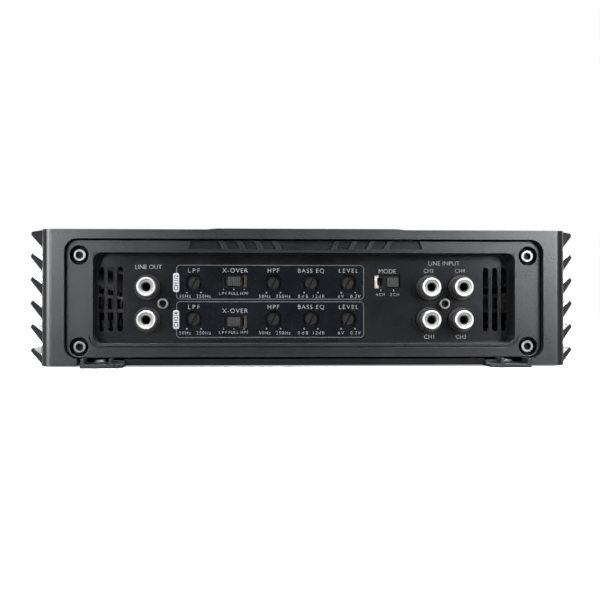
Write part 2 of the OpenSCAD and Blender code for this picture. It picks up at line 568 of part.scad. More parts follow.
module signal_chips() color([0.08, 0.08, 0.08]) for (x = [-45:18:45], y = [-96]) difference() {
  box([x - 3.3, y - 5, pcb_hi], [x + 3.3, y + 5, pcb_hi + 3.4]);
  translate([x, y - 5, pcb_hi + 2.6]) cylinder(r = 0.9, h = 2);
}

heatsink_housing();
top_badge();
front_end_cap();
rear_end_cap();
front_control_panel();
rear_terminal_panel();
end_cap_screws();
front_panel_screws();
line_out_block();
line_in_block();
jack_shells();
jack_insulators();
jack_center_contacts();
potentiometer_bodies();
lpf_shaft_upper();
hpf_shaft_upper();
bass_shaft_upper();
level_shaft_upper();
lpf_shaft_lower();
hpf_shaft_lower();
bass_shaft_lower();
level_shaft_lower();
slide_switch_frames();
slide_switch_bases();
crossover_slider_upper();
crossover_slider_lower();
mode_slider();
control_board();
main_circuit_board();
board_standoffs();
board_screws();
bottom_plate();
bottom_plate_screws();
foot_front_left();
foot_front_right();
foot_rear_left();
foot_rear_right();
foot_rivets();
speaker_terminal_block();
speaker_terminal_contacts();
speaker_terminal_screws();
power_terminal_block();
power_terminal_contacts();
power_terminal_screws();
fuse_holder();
fuse_left();
fuse_right();
status_leds();
output_transistors();
transistor_pads();
transistor_clamp_bars();
clamp_bar_screws();
transformer_core();
transformer_windings();
output_inductor_cores();
output_inductor_windings();
filter_capacitors();
signal_chips();
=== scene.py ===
"""Four-channel car amplifier: finishes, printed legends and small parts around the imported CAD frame.

Metres, front faces -Y, +Z is up. Positions in mm are turned into metres where they are used.
"""

import math

import bmesh
import bpy
from mathutils import Matrix, Vector


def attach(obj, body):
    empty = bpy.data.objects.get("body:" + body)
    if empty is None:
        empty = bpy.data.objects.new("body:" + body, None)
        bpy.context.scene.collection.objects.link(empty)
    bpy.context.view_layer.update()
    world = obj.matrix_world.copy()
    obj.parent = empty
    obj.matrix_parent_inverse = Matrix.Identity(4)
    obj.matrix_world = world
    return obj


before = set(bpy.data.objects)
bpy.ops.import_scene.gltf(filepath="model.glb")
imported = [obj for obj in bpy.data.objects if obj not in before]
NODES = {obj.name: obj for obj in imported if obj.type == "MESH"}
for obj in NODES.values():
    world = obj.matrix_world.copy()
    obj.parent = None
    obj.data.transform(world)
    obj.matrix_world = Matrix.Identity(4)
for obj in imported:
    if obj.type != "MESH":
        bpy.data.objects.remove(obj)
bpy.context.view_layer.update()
MM = 0.001

# ---------------------------------------------------------------- camera
scene = bpy.context.scene
cam_data = bpy.data.cameras.new("camera")
cam = bpy.data.objects.new("camera", cam_data)
scene.collection.objects.link(cam)
cam.location = (-0.03089, -0.650, 0.02318)
cam.rotation_euler = (math.radians(90.583), 0.0, math.radians(-3.224))
cam_data.sensor_width = 36.0
cam_data.lens = 71.36
cam_data.clip_start, cam_data.clip_end = 0.01, 50.0
scene.camera = cam
scene.view_settings.view_transform = "Standard"
scene.view_settings.look = "None"


# ---------------------------------------------------------------- node material helpers
class Mat:
    """A node material: a Principled shader with helpers that add and link nodes."""

    def __init__(self, name):
        self.m = bpy.data.materials.new(name)
        self.m.use_nodes = True
        self.t = self.m.node_tree
        self.t.nodes.clear()
        self.out = self.t.nodes.new("ShaderNodeOutputMaterial")
        self.b = self.t.nodes.new("ShaderNodeBsdfPrincipled")
        self.t.links.new(self.b.outputs[0], self.out.inputs[0])
        self.tc = self.t.nodes.new("ShaderNodeTexCoord").outputs["Object"]

    def node(self, kind, **inputs):
        n = self.t.nodes.new(kind)
        for k, v in inputs.items():
            self.put(n.inputs[k.replace("_", " ")], v)
        return n

    def put(self, socket, v):
        if isinstance(v, bpy.types.NodeSocket):
            self.t.links.new(v, socket)
        else:
            socket.default_value = v

    def mapped(self, scale, rot=(0, 0, 0)):
        n = self.node("ShaderNodeMapping")
        self.put(n.inputs["Vector"], self.tc)
        n.inputs["Scale"].default_value = scale
        n.inputs["Rotation"].default_value = rot
        return n.outputs[0]

    def noise(self, scale, detail=3.0, rough=0.5, vec=None, distort=0.0):
        n = self.node("ShaderNodeTexNoise", Scale=scale, Detail=detail, Roughness=rough, Distortion=distort)
        self.put(n.inputs["Vector"], self.tc if vec is None else vec)
        return n.outputs["Fac"]

    def voronoi(self, scale, vec=None, feature="F1", out="Distance"):
        n = self.node("ShaderNodeTexVoronoi", Scale=scale)
        n.feature = feature
        self.put(n.inputs["Vector"], self.tc if vec is None else vec)
        return n.outputs[out]

    def ramp(self, fac, stops):
        n = self.node("ShaderNodeValToRGB", Fac=fac)
        el = n.color_ramp.elements
        while len(el) < len(stops):
            el.new(0.5)
        for e, (p, c) in zip(el, stops):
            e.position = p
            e.color = (*c, 1) if len(c) == 3 else c
        return n.outputs["Color"]

    def remap(self, v, a, b, lo, hi, smooth=False):
        n = self.node("ShaderNodeMapRange")
        if smooth:
            n.interpolation_type = "SMOOTHSTEP"
        self.put(n.inputs["Value"], v)
        for k, x in (("From Min", a), ("From Max", b), ("To Min", lo), ("To Max", hi)):
            n.inputs[k].default_value = x
        return n.outputs["Result"]

    def math(self, op, a, b=0.0, clamp=False):
        n = self.node("ShaderNodeMath")
        n.operation = op
        n.use_clamp = clamp
        self.put(n.inputs[0], a)
        self.put(n.inputs[1], b)
        return n.outputs[0]

    def mix(self, fac, a, b):
        n = self.t.nodes.new("ShaderNodeMix")
        n.data_type = "RGBA"
        self.put(n.inputs[0], fac)
        self.put(n.inputs[6], (*a, 1) if isinstance(a, tuple) and len(a) == 3 else a)
        self.put(n.inputs[7], (*b, 1) if isinstance(b, tuple) and len(b) == 3 else b)
        return n.outputs[2]

    def bump(self, height, strength, distance, normal=None):
        n = self.node("ShaderNodeBump", Strength=strength, Distance=distance, Height=height)
        if normal is not None:
            self.put(n.inputs["Normal"], normal)
        return n.outputs[0]

    def xyz(self):
        n = self.t.nodes.new("ShaderNodeSeparateXYZ")
        self.put(n.inputs[0], self.tc)
        return n.outputs

    def band(self, v, lo, hi, soft):
        """1 where v lies between lo and hi, with soft ends."""
        return self.math("MULTIPLY", self.remap(v, lo - soft, lo + soft, 0, 1), self.remap(v, hi - soft, hi + soft, 1, 0))

    def set(self, **sockets):
        for k, v in sockets.items():
            self.put(self.b.inputs[k.replace("_", " ")], v)
        return self


def coated(name, dark, light, rough, spec=0.5, grain=2300.0, bump=0.35, depth=0.00004, mottle=70.0, fleck=0.35, metal=0.0, lines=None, tint=(0.94, 0.965, 1.0)):
    """Fine-grained coating: grain in the bump, slow mottling in colour and roughness, and optional drawing lines."""
    m = Mat(name)
    fine = m.noise(grain, 3.0, 0.55)
    slow = m.noise(mottle, 4.0, 0.6)
    fac = m.math("ADD", m.math("MULTIPLY", fine, fleck), m.math("MULTIPLY", slow, 1 - fleck))
    m.set(Base_Color=m.mix(m.remap(fac, 0.36, 0.64, 0, 1), dark, light), Metallic=metal, Specular_IOR_Level=spec)
    mid, half = (rough[0] + rough[1]) / 2, (rough[1] - rough[0]) / 5
    r = m.math("ADD", m.remap(slow, 0.3, 0.7, mid - half, mid + half), m.remap(fine, 0.3, 0.7, -0.015, 0.015))
    h = m.math("ADD", m.math("MULTIPLY", fine, 0.45), m.math("MULTIPLY", m.noise(grain * 0.42, 2.0, 0.5), 0.55))
    if lines is not None:
        scratch = m.noise(1.0, 3.0, 0.6, vec=m.mapped(lines))
        h = m.math("ADD", m.math("MULTIPLY", h, 0.85), m.math("MULTIPLY", scratch, 0.15))
        r = m.math("ADD", r, m.remap(scratch, 0.3, 0.7, -0.012, 0.012))
    m.set(Roughness=r, Normal=m.bump(h, bump, depth))
    m.b.inputs["Specular Tint"].default_value = (*tint, 1)
    return m


def metal(name, c0, c1, rough, grain=900.0, bump=0.12, stretch=(1, 1, 1), tarnish=None, depth=0.00003):
    """Bare or plated metal with fine tool marks, uneven polish and a little tarnish."""
    m = Mat(name)
    marks = m.noise(grain, 3.0, 0.6, vec=m.mapped(stretch))
    slow = m.noise(220.0, 3.0, 0.6)
    col = m.mix(m.remap(slow, 0.35, 0.65, 0, 1), c0, c1)
    if tarnish:
        spots = m.remap(m.noise(420.0, 4.0, 0.65), 0.56, 0.68, 0, 0.7)
        col = m.mix(spots, col, tarnish)
    m.set(Base_Color=col, Metallic=1.0,
          Roughness=m.math("ADD", m.remap(slow, 0.3, 0.7, rough[0], rough[1]), m.remap(marks, 0.3, 0.7, -0.03, 0.03)),
          Normal=m.bump(marks, bump, depth))
    return m


# ---------------------------------------------------------------- materials, one for each slot of the record
MATS = {}
MATS["black_cast"] = coated("black_cast", (0.0042, 0.0043, 0.0047), (0.0085, 0.0088, 0.0094), (0.26, 0.33), spec=0.46, grain=2100, bump=0.55, depth=0.00010)
MATS["black_anodised"] = coated("black_anodised", (0.0042, 0.0043, 0.0046), (0.0085, 0.0087, 0.0092), (0.26, 0.33), spec=0.5, grain=2500,
                                bump=0.52, depth=0.00009, mottle=60.0, lines=(1500, 3, 1500))


def housing_material():
    """Housing: anodised outside; inside the opening the specular level is lowered as painted shade."""
    m = MATS["black_anodised"]
    x, y, z = m.xyz()
    inside = m.math("MULTIPLY", m.remap(m.math("ABSOLUTE", x), 0.1013, 0.1015, 1, 0), m.band(z, 0.0034, 0.05415, 0.00005))
    inside = m.math("MULTIPLY", inside, m.remap(m.math("ABSOLUTE", y), 0.1496, 0.1498, 1, 0))
    # painted shade: specular lowered on the inner walls of the opening
    m.set(Specular_IOR_Level=m.remap(inside, 0, 1, 0.5, 0.08))


housing_material()


def cap_material():
    """End caps: the cast coating, with the specular level lowered as painted shade on the floors of the trim windows,
    on the groove wall and in the corner-screw counterbores.
    """
    m = coated("cap_black", (0.0042, 0.0043, 0.0047), (0.0085, 0.0088, 0.0094), (0.26, 0.33), spec=0.46, grain=2100, bump=0.55, depth=0.00010)
    x, y, z = m.xyz()
    # painted shade: specular lowered on the trim-window floors and the groove wall
    floor_ = m.math("MULTIPLY", m.band(m.math("ABSOLUTE", y), 0.1452, 0.14575, 0.00005), m.remap(z, 0.0478, 0.0481, 0, 1))
    wall = m.math("MULTIPLY", m.remap(m.math("ABSOLUTE", x), 0.0896, 0.0898, 1, 0), m.band(z, 0.0099, 0.04835, 0.00005))
    level = m.math("MINIMUM", m.remap(floor_, 0, 1, 0.46, 0.24), m.remap(wall, 0, 1, 0.46, 0.2))
    # painted shade: specular lowered in the counterbores round the corner screws
    for cz in (0.0472, 0.0085):
        dx, dz = m.math("SUBTRACT", m.math("ABSOLUTE", x), 0.09545), m.math("SUBTRACT", z, cz)
        d = m.math("SQRT", m.math("ADD", m.math("MULTIPLY", dx, dx), m.math("MULTIPLY", dz, dz)))
        level = m.math("MINIMUM", level, m.remap(d, 0.00392, 0.00400, 0.06, 0.46))
    m.set(Specular_IOR_Level=level)
    return m


MATS["cap_black"] = cap_material()


def panel_material():
    """Control panel: fine powder coat, a little cooler and smoother inside the two printed frames."""
    m = Mat("panel_black")
    fine = m.noise(2200.0, 3.0, 0.55)
    slow = m.noise(60.0, 4.0, 0.6)
    x, y, z = m.xyz()
    front = m.remap(y, -0.02, 0.0, 1, 0)
    inside = m.math("MULTIPLY", m.band(x, -0.0552, 0.0258, 0.0001), m.math("ADD", m.band(z, 0.0287, 0.0435, 0.0001), m.band(z, 0.0122, 0.0277, 0.0001)))
    inside = m.math("MULTIPLY", inside, front, clamp=True)
    fac = m.remap(m.math("ADD", m.math("MULTIPLY", fine, 0.4), m.math("MULTIPLY", slow, 0.6)), 0.36, 0.64, 0, 1)
    plain = m.mix(fac, (0.0035, 0.0037, 0.0040), (0.0072, 0.0074, 0.0078))
    cool = m.mix(fac, (0.0026, 0.0032, 0.0043), (0.0052, 0.0063, 0.0078))
    r = m.math("ADD", m.remap(slow, 0.3, 0.7, 0.17, 0.21), m.remap(fine, 0.3, 0.7, -0.025, 0.025))
    m.set(Base_Color=m.mix(inside, plain, cool), Specular_IOR_Level=m.remap(inside, 0, 1, 0.42, 0.21),
          Specular_Tint=m.mix(inside, (0.93, 0.955, 1.0), (0.82, 0.91, 1.0)),
          Roughness=m.math("ADD", r, m.math("MULTIPLY", inside, 0.03)),
          Normal=m.bump(m.math("ADD", m.math("MULTIPLY", fine, 0.45), m.math("MULTIPLY", m.noise(900.0, 2.0), 0.55)), 0.5, 0.00008))
    return m


MATS["panel_black"] = panel_material()
MATS["plate_black"] = coated("plate_black", (0.0025, 0.0026, 0.0028), (0.0050, 0.0051, 0.0055), (0.38, 0.46), spec=0.10, grain=2300, bump=0.3, depth=0.00004)
MATS["badge"] = coated("badge", (0.012, 0.012, 0.013), (0.022, 0.022, 0.024), (0.30, 0.38), spec=0.5, grain=3000, bump=0.2, depth=0.00002, lines=(40, 2600, 40))
MATS["black_plastic"] = coated("black_plastic", (0.004, 0.004, 0.0044), (0.008, 0.008, 0.0086), (0.30, 0.38), spec=0.42, grain=3200, bump=0.25, depth=0.00003, mottle=130)
MATS["screw_steel"] = metal("screw_steel", (0.15, 0.15, 0.154), (0.25, 0.25, 0.255), (0.28, 0.38), grain=1400, bump=0.12, tarnish=(0.12, 0.12, 0.12))


def painted_shade_cores(m, axes, r0, r1, shade):
    """Painted shade: darken the colour of m round axes that run along Y, standing in for shade in the hollows there:
    full painted shade inside r0 (mm), none outside r1.
    """
    x, y, z = m.xyz()
    ax = m.math("ABSOLUTE", x)
    near = None
    for cx, cz in axes:
        dx, dz = m.math("SUBTRACT", ax, cx * MM), m.math("SUBTRACT", z, cz * MM)
        d = m.math("SQRT", m.math("ADD", m.math("MULTIPLY", dx, dx), m.math("MULTIPLY", dz, dz)))
        near = d if near is None else m.math("MINIMUM", near, d)
    link = m.b.inputs["Base Color"].links[0].from_socket
    m.set(Base_Color=m.mix(m.remap(near, r0 * MM, r1 * MM, 1, 0), link, shade))
    return m


# painted shade in the hex sockets of the end-cap and panel screws
painted_shade_cores(MATS["screw_steel"], ((95.45, 47.2), (95.45, 8.5), (60.9, 26.8)), 1.45, 1.75, (0.008, 0.008, 0.008))
# painted shade: a darkened copy of the steel for the rivets in the dark channels of the feet
MATS["rivet_steel_shaded"] = metal("rivet_steel_shaded", (0.03, 0.03, 0.032), (0.07, 0.07, 0.073), (0.55, 0.66), grain=1400, bump=0.14, tarnish=(0.03, 0.03, 0.03))
# painted shade: a darkened copy of brass for the centre contacts deep in the jack holes
MATS["pin_brass_shaded"] = metal("pin_brass_shaded", (0.035, 0.028, 0.016), (0.07, 0.055, 0.03), (0.4, 0.55), grain=1400, bump=0.14, tarnish=(0.02, 0.016, 0.01))
MATS["nickel"] = metal("nickel", (0.40, 0.397, 0.394), (0.50, 0.497, 0.494), (0.36, 0.42), grain=1600, bump=0.03, tarnish=(0.52, 0.50, 0.47))
MATS["brass_contact"] = metal("brass_contact", (0.60, 0.42, 0.17), (0.80, 0.60, 0.28), (0.26, 0.36), tarnish=(0.30, 0.20, 0.09))
MATS["standoff_brass"] = metal("standoff_brass", (0.58, 0.42, 0.18), (0.78, 0.60, 0.30), (0.28, 0.38), stretch=(60, 60, 2), grain=20, tarnish=(0.32, 0.22, 0.10))
MATS["switch_steel"] = metal("switch_steel", (0.40, 0.37, 0.34), (0.60, 0.57, 0.53), (0.30, 0.42), tarnish=(0.20, 0.14, 0.09))


def frame_material():
    """Slide switch frames: blackened steel, with painted highlights of bright metal at the right end of one pair and
    the left end of the other, where light catches the ends.
    """
    m = MATS["switch_steel"]
    x, y, z = m.xyz()
    fine = m.noise(1900.0, 3.0)
    # painted highlights: bright metal at the right end of the X-OVER frames (bare) and the left end of the MODE frame
    # (bright)
    bare = m.band(x, -0.0262, -0.0245, 0.0001)
    bright = m.band(x, 0.0300, 0.0325, 0.0001)
    link = m.b.inputs["Base Color"].links[0].from_socket
    black = m.mix(m.remap(fine, 0.35, 0.65, 0, 1), (0.0045, 0.0045, 0.0045), (0.010, 0.0095, 0.009))
    m.set(Specular_IOR_Level=0.2, Base_Color=m.mix(bright, m.mix(bare, black, (0.13, 0.10, 0.078)), link),
          Metallic=m.math("MAXIMUM", bare, bright))
    return m


frame_material()
MATS["bar_steel"] = metal("bar_steel", (0.45, 0.46, 0.48), (0.62, 0.63, 0.65), (0.30, 0.42), stretch=(40, 1, 40), grain=40, tarnish=(0.24, 0.22, 0.20))


def simple_plastic(name, c0, c1, rough, grain, bump, spec=0.4, mottle=150, depth=0.00004):
    return coated(name, c0, c1, rough, spec=spec, grain=grain, bump=bump, mottle=mottle, depth=depth)


MATS["insulator_grey"] = simple_plastic("insulator_grey", (0.20, 0.20, 0.20), (0.30, 0.30, 0.295), (0.38, 0.46), 1800, 0.2)
# painted shade on the jack insulators, darkening towards the recessed centre holes
painted_shade_cores(MATS["insulator_grey"], ((67.6, 33.85), (67.6, 19.8), (54.1, 33.85), (54.1, 19.8), (68.1, 33.85), (68.1, 19.8)), 1.3, 2.7, (0.012, 0.012, 0.012))
MATS["shaft_grey"] = simple_plastic("shaft_grey", (0.0062, 0.0062, 0.0067), (0.0135, 0.0135, 0.0135), (0.34, 0.42), 2600, 0.3, spec=0.20, mottle=500)
MATS["slider_grey"] = simple_plastic("slider_grey", (0.015, 0.0146, 0.014), (0.032, 0.031, 0.030), (0.40, 0.50), 2600, 0.3, mottle=500)
MATS["switch_base"] = simple_plastic("switch_base", (0.010, 0.007, 0.005), (0.022, 0.014, 0.009), (0.45, 0.6), 900, 0.3)
MATS["pot_body"] = simple_plastic("pot_body", (0.0030, 0.0032, 0.0040), (0.0062, 0.0068, 0.0085), (0.42, 0.52), 2200, 0.25, spec=0.12)
MATS["transistor"] = simple_plastic("transistor", (0.010, 0.010, 0.011), (0.020, 0.020, 0.021), (0.50, 0.62), 2400, 0.4)
MATS["pad"] = simple_plastic("pad", (0.42, 0.42, 0.38), (0.56, 0.55, 0.50), (0.6, 0.75), 1500, 0.3)
MATS["ferrite"] = simple_plastic("ferrite", (0.018, 0.018, 0.020), (0.040, 0.040, 0.043), (0.5, 0.65), 1400, 0.5)


def board_material():
    """Green solder mask with pale tracks under it."""
    m = Mat("board_green")
    cell = m.voronoi(260.0, out="Distance", feature="DISTANCE_TO_EDGE")
    track = m.remap(cell, 0.03, 0.06, 1, 0)
    fine = m.noise(1500.0, 2.0)
    col = m.mix(m.remap(fine, 0.35, 0.65, 0, 1), (0.006, 0.050, 0.022), (0.010, 0.080, 0.036))
    col = m.mix(m.math("MULTIPLY", track, 0.55), col, (0.035, 0.16, 0.075))
    m.set(Base_Color=col, Roughness=m.remap(fine, 0.3, 0.7, 0.26, 0.36), Specular_IOR_Level=0.5,
          Normal=m.bump(m.math("ADD", m.math("MULTIPLY", track, 0.8), m.math("MULTIPLY", fine, 0.2)), 0.3, 0.00005))
    return m


MATS["board_green"] = board_material()


def sleeve_material():
    """Capacitor sleeve: shrunk dark blue film, bare rolled aluminium at the top."""
    m = Mat("cap_sleeve")
    x, y, z = m.xyz()
    fine = m.noise(1700.0, 3.0)
    slow = m.noise(160.0, 3.0, vec=m.mapped((1, 1, 3)))
    top = m.remap(z, 0.0473, 0.0476, 0, 1)
    film = m.mix(m.remap(slow, 0.35, 0.65, 0, 1), (0.010, 0.013, 0.045), (0.018, 0.024, 0.075))
    bare = m.mix(m.remap(fine, 0.35, 0.65, 0, 1), (0.55, 0.55, 0.56), (0.72, 0.72, 0.73))
    m.set(Base_Color=m.mix(top, film, bare), Metallic=top, Roughness=m.remap(slow, 0.3, 0.7, 0.24, 0.36),
          Normal=m.bump(m.math("ADD", m.math("MULTIPLY", slow, 0.7), m.math("MULTIPLY", fine, 0.3)), 0.25, 0.00008))
    return m


MATS["cap_sleeve"] = sleeve_material()


def wire_material():
    """Enamelled copper wire: close turns in the bump, amber to brown."""
    m = Mat("copper_wire")
    x, y, z = m.xyz()
    turn = m.math("SINE", m.math("MULTIPLY", z, 2 * math.pi / 0.0009))
    fine = m.noise(900.0, 3.0)
    col = m.mix(m.remap(fine, 0.35, 0.65, 0, 1), (0.46, 0.15, 0.045), (0.66, 0.27, 0.09))
    m.set(Base_Color=col, Metallic=0.85, Roughness=m.remap(fine, 0.3, 0.7, 0.26, 0.4),
          Normal=m.bump(turn, 0.5, 0.00012))
    return m


MATS["copper_wire"] = wire_material()


def fuse_material():
    """Blade fuse: translucent green moulding, plated blades below the body."""
    m = Mat("fuse_green")
    x, y, z = m.xyz()
    slow = m.noise(300.0, 3.0)
    fine = m.noise(2200.0, 2.0)
    blade = m.remap(y, 0.13799, 0.13801, 1, 0)
    body = m.mix(m.remap(slow, 0.35, 0.65, 0, 1), (0.020, 0.30, 0.055), (0.045, 0.42, 0.10))
    tin = m.mix(m.remap(slow, 0.35, 0.65, 0, 1), (0.62, 0.62, 0.62), (0.78, 0.78, 0.78))
    m.set(Base_Color=m.mix(blade, body, tin), Metallic=blade, Roughness=m.remap(fine, 0.3, 0.7, 0.20, 0.32),
          Normal=m.bump(fine, 0.2, 0.00003))
    m.b.inputs["Subsurface Weight"].default_value = 0.15
    m.b.inputs["Subsurface Radius"].default_value = (0.0006, 0.002, 0.0008)
    return m


MATS["fuse_green"] = fuse_material()


def lens_material():
    """Unlit lamp lens: milky blue epoxy, uneven in tone."""
    m = Mat("led_lens")
    slow = m.noise(900.0, 3.0)
    fine = m.noise(3000.0, 2.0)
    m.set(Base_Color=m.mix(m.remap(slow, 0.35, 0.65, 0, 1), (0.10, 0.24, 0.46), (0.20, 0.38, 0.62)),
          Roughness=m.remap(fine, 0.3, 0.7, 0.10, 0.2), Normal=m.bump(fine, 0.1, 0.00002))
    m.b.inputs["Coat Weight"].default_value = 0.6
    m.b.inputs["Coat Roughness"].default_value = 0.06
    return m


MATS["led_lens"] = lens_material()


def ink(name, c0, c1, rough=(0.5, 0.62)):
    """Screen-printed ink: slightly uneven cover, fine pinholes and a matt film."""
    m = Mat(name)
    fine = m.noise(3600.0, 3.0, 0.6)
    slow = m.noise(700.0, 3.0)
    m.set(Base_Color=m.mix(m.remap(m.math("ADD", m.math("MULTIPLY", fine, 0.5), m.math("MULTIPLY", slow, 0.5)), 0.38, 0.6, 0, 1), c0, c1),
          Roughness=m.remap(fine, 0.3, 0.7, rough[0], rough[1]), Specular_IOR_Level=0.3, Normal=m.bump(fine, 0.25, 0.00002))
    return m


INK_WHITE = ink("ink_white", (0.20, 0.212, 0.23), (0.32, 0.335, 0.355))
INK_PILL = ink("ink_pill", (0.34, 0.36, 0.39), (0.50, 0.52, 0.55))
INK_LINE = ink("ink_line", (0.055, 0.062, 0.072), (0.10, 0.11, 0.125))
INK_DARK = ink("ink_dark", (0.010, 0.011, 0.013), (0.020, 0.021, 0.024))

# ---------------------------------------------------------------- CAD nodes: finish and edge rounding
EDGE = {  # node: (edge radius in mm, segments)
    "heatsink_housing": (0.28, 3), "front_end_cap": (0.28, 3), "rear_end_cap": (0.28, 3),
    "front_control_panel": (0.2, 2), "top_badge": (0.12, 2),
    "bottom_plate": (0.2, 2), "foot_front_left": (0.22, 3), "foot_front_right": (0.22, 3),
    "foot_rear_left": (0.22, 3), "foot_rear_right": (0.22, 3), "foot_rivets": (0.15, 2),
    "end_cap_screws": (0.1, 2), "front_panel_screws": (0.1, 2), "bottom_plate_screws": (0.1, 2),
    "jack_shells": (0.12, 2), "jack_insulators": (0.1, 2), "jack_center_contacts": (0.06, 2),
    "line_out_block": (0.2, 2), "line_in_block": (0.2, 2), "potentiometer_bodies": (0.1, 2),
    "slide_switch_frames": (0.1, 2), "slide_switch_bases": (0.1, 2),
    "crossover_slider_upper": (0.07, 2), "crossover_slider_lower": (0.07, 2), "mode_slider": (0.07, 2),
    "speaker_terminal_block": (0.15, 2), "power_terminal_block": (0.15, 2), "fuse_holder": (0.15, 2),
    "speaker_terminal_contacts": (0.08, 2), "power_terminal_contacts": (0.08, 2),
    "speaker_terminal_screws": (0.1, 2), "power_terminal_screws": (0.1, 2),
    "fuse_left": (0.25, 3), "fuse_right": (0.25, 3),
    "control_board": (0.1, 1), "main_circuit_board": (0.1, 1), "output_transistors": (0.15, 2),
    "transistor_clamp_bars": (0.2, 2), "transformer_core": (0.6, 3), "transformer_windings": (0.4, 3),
    "output_inductor_cores": (0.2, 2), "signal_chips": (0.15, 2), "transistor_pads": (0.05, 1),
}
UNMERGED = {"speaker_terminal_block", "power_terminal_block", "fuse_holder"}  # faces with many openings keep their facets
for _shaft in ("lpf", "hpf", "bass", "level"):
    for _row in ("upper", "lower"):
        EDGE[f"{_shaft}_shaft_{_row}"] = (0.08, 2)


def smooth_group():
    """Geometry nodes: drop the imported normals, then shade smooth except across edges sharper than 25 degrees."""
    g = bpy.data.node_groups.new("edge_shading", "GeometryNodeTree")
    g.interface.new_socket("Geometry", in_out="INPUT", socket_type="NodeSocketGeometry")
    g.interface.new_socket("Geometry", in_out="OUTPUT", socket_type="NodeSocketGeometry")
    a, z = g.nodes.new("NodeGroupInput"), g.nodes.new("NodeGroupOutput")
    rm = g.nodes.new("GeometryNodeRemoveAttribute")
    rm.inputs["Name"].default_value = "custom_normal"
    face = g.nodes.new("GeometryNodeSetShadeSmooth")
    face.domain = "FACE"
    face.inputs["Shade Smooth"].default_value = True
    edge = g.nodes.new("GeometryNodeSetShadeSmooth")
    edge.domain = "EDGE"
    ang = g.nodes.new("GeometryNodeInputMeshEdgeAngle")
    less = g.nodes.new("FunctionNodeCompare")
    less.data_type = "FLOAT"
    less.operation = "LESS_EQUAL"
    less.inputs[1].default_value = math.radians(25)
    lk = g.links.new
    lk(a.outputs[0], rm.inputs["Geometry"])
    lk(rm.outputs[0], face.inputs["Geometry"])
    lk(face.outputs[0], edge.inputs["Geometry"])
    lk(ang.outputs["Unsigned Angle"], less.inputs[0])
    lk(less.outputs[0], edge.inputs["Shade Smooth"])
    lk(edge.outputs[0], z.inputs[0])
    return g


SHADE = smooth_group()


def round_edges(o, width, segments, angle=30.0, merge=True):
    """Weld the imported facets, round the sharp edges, and keep flat faces flat."""
    w = o.modifiers.new("weld", "WELD")
    w.merge_threshold = 2e-6
    if merge:
        d = o.modifiers.new("planar", "DECIMATE")
        d.decimate_type = "DISSOLVE"
        d.angle_limit = math.radians(0.3)
    b = o.modifiers.new("bevel", "BEVEL")
    b.width = width * MM
    b.segments = segments
    b.limit_method = "ANGLE"
    b.angle_limit = math.radians(angle)
    b.use_clamp_overlap = True
    b.miter_outer = "MITER_ARC"
    g = o.modifiers.new("shading", "NODES")
    g.node_group = SHADE
    n = o.modifiers.new("normals", "WEIGHTED_NORMAL")
    n.keep_sharp = True
    n.weight = 80


FINISH = {"bottom_plate": "plate_black", "front_end_cap": "cap_black", "rear_end_cap": "cap_black", "foot_rivets": "rivet_steel_shaded", "jack_center_contacts": "pin_brass_shaded"}
for name, o in NODES.items():
    for i, m in enumerate(o.data.materials):
        key = FINISH.get(name, m.name.split(".")[0] if m else "")
        if key in MATS:
            o.data.materials[i] = MATS[key].m
    if name in EDGE:
        round_edges(o, *EDGE[name], merge=name not in UNMERGED)


# ---------------------------------------------------------------- printed legends
def new_piece(name, bm, mat, body="chassis"):
    me = bpy.data.meshes.new(name)
    bm.normal_update()
    bm.to_mesh(me)
    bm.free()
    o = bpy.data.objects.new(name, me)
    scene.collection.objects.link(o)
    me.materials.append(mat)
    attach(o, body)
    return o


def text_bm(s, cap, space, weight=-0.011):
    """A mesh of the word s with capitals cap high, in the plane z = 0, thickness one unit."""
    c = bpy.data.curves.new("t", "FONT")
    c.body = s
    c.size = 1.0
    c.resolution_u = 3
    c.space_character = space
    c.offset = weight
    c.extrude = 0.5
    t = bpy.data.objects.new("t", c)
    scene.collection.objects.link(t)
    dg = bpy.context.evaluated_depsgraph_get()
    me = bpy.data.meshes.new_from_object(t.evaluated_get(dg))
    bm = bmesh.new()
    bm.from_mesh(me)
    bpy.data.objects.remove(t)
    bpy.data.curves.remove(c)
    bpy.data.meshes.remove(me)
    bmesh.ops.remove_doubles(bm, verts=bm.verts, dist=1e-5)
    k = cap / CAP
    bmesh.ops.scale(bm, vec=(k, k, 1), verts=bm.verts)
    return bm


CAP = 1.0
_probe = text_bm("H", 1.0, 1.0)
CAP = max(v.co.y for v in _probe.verts) - min(v.co.y for v in _probe.verts)
_probe.free()


def span(bm):
    xs = [v.co.x for v in bm.verts]
    return min(xs), max(xs)


def word(s, cap, width, weight=-0.011):
    """The word fitted to a width by its letter spacing, and by a small stretch if that is not enough. Centred on x = 0 and on its cap height."""
    got = []
    for sp in (1.0, 1.4):
        bm = text_bm(s, cap, sp, weight)
        lo, hi = span(bm)
        got.append(hi - lo)
        bm.free()
    b = (got[1] - got[0]) / 0.4
    sp = 1.0 if abs(b) < 1e-9 else 1.0 + (width - got[0]) / b
    sp = min(max(sp, 1.02), 1.7)
    bm = text_bm(s, cap, sp, weight)
    lo, hi = span(bm)
    stretch = min(max(width / (hi - lo), 0.6), 1.3)
    bmesh.ops.translate(bm, vec=(-(lo + hi) / 2, -cap / 2, 0), verts=bm.verts)
    bmesh.ops.scale(bm, vec=(stretch, 1, 1), verts=bm.verts)
    return bm


INK_T = 0.03  # ink thickness, mm


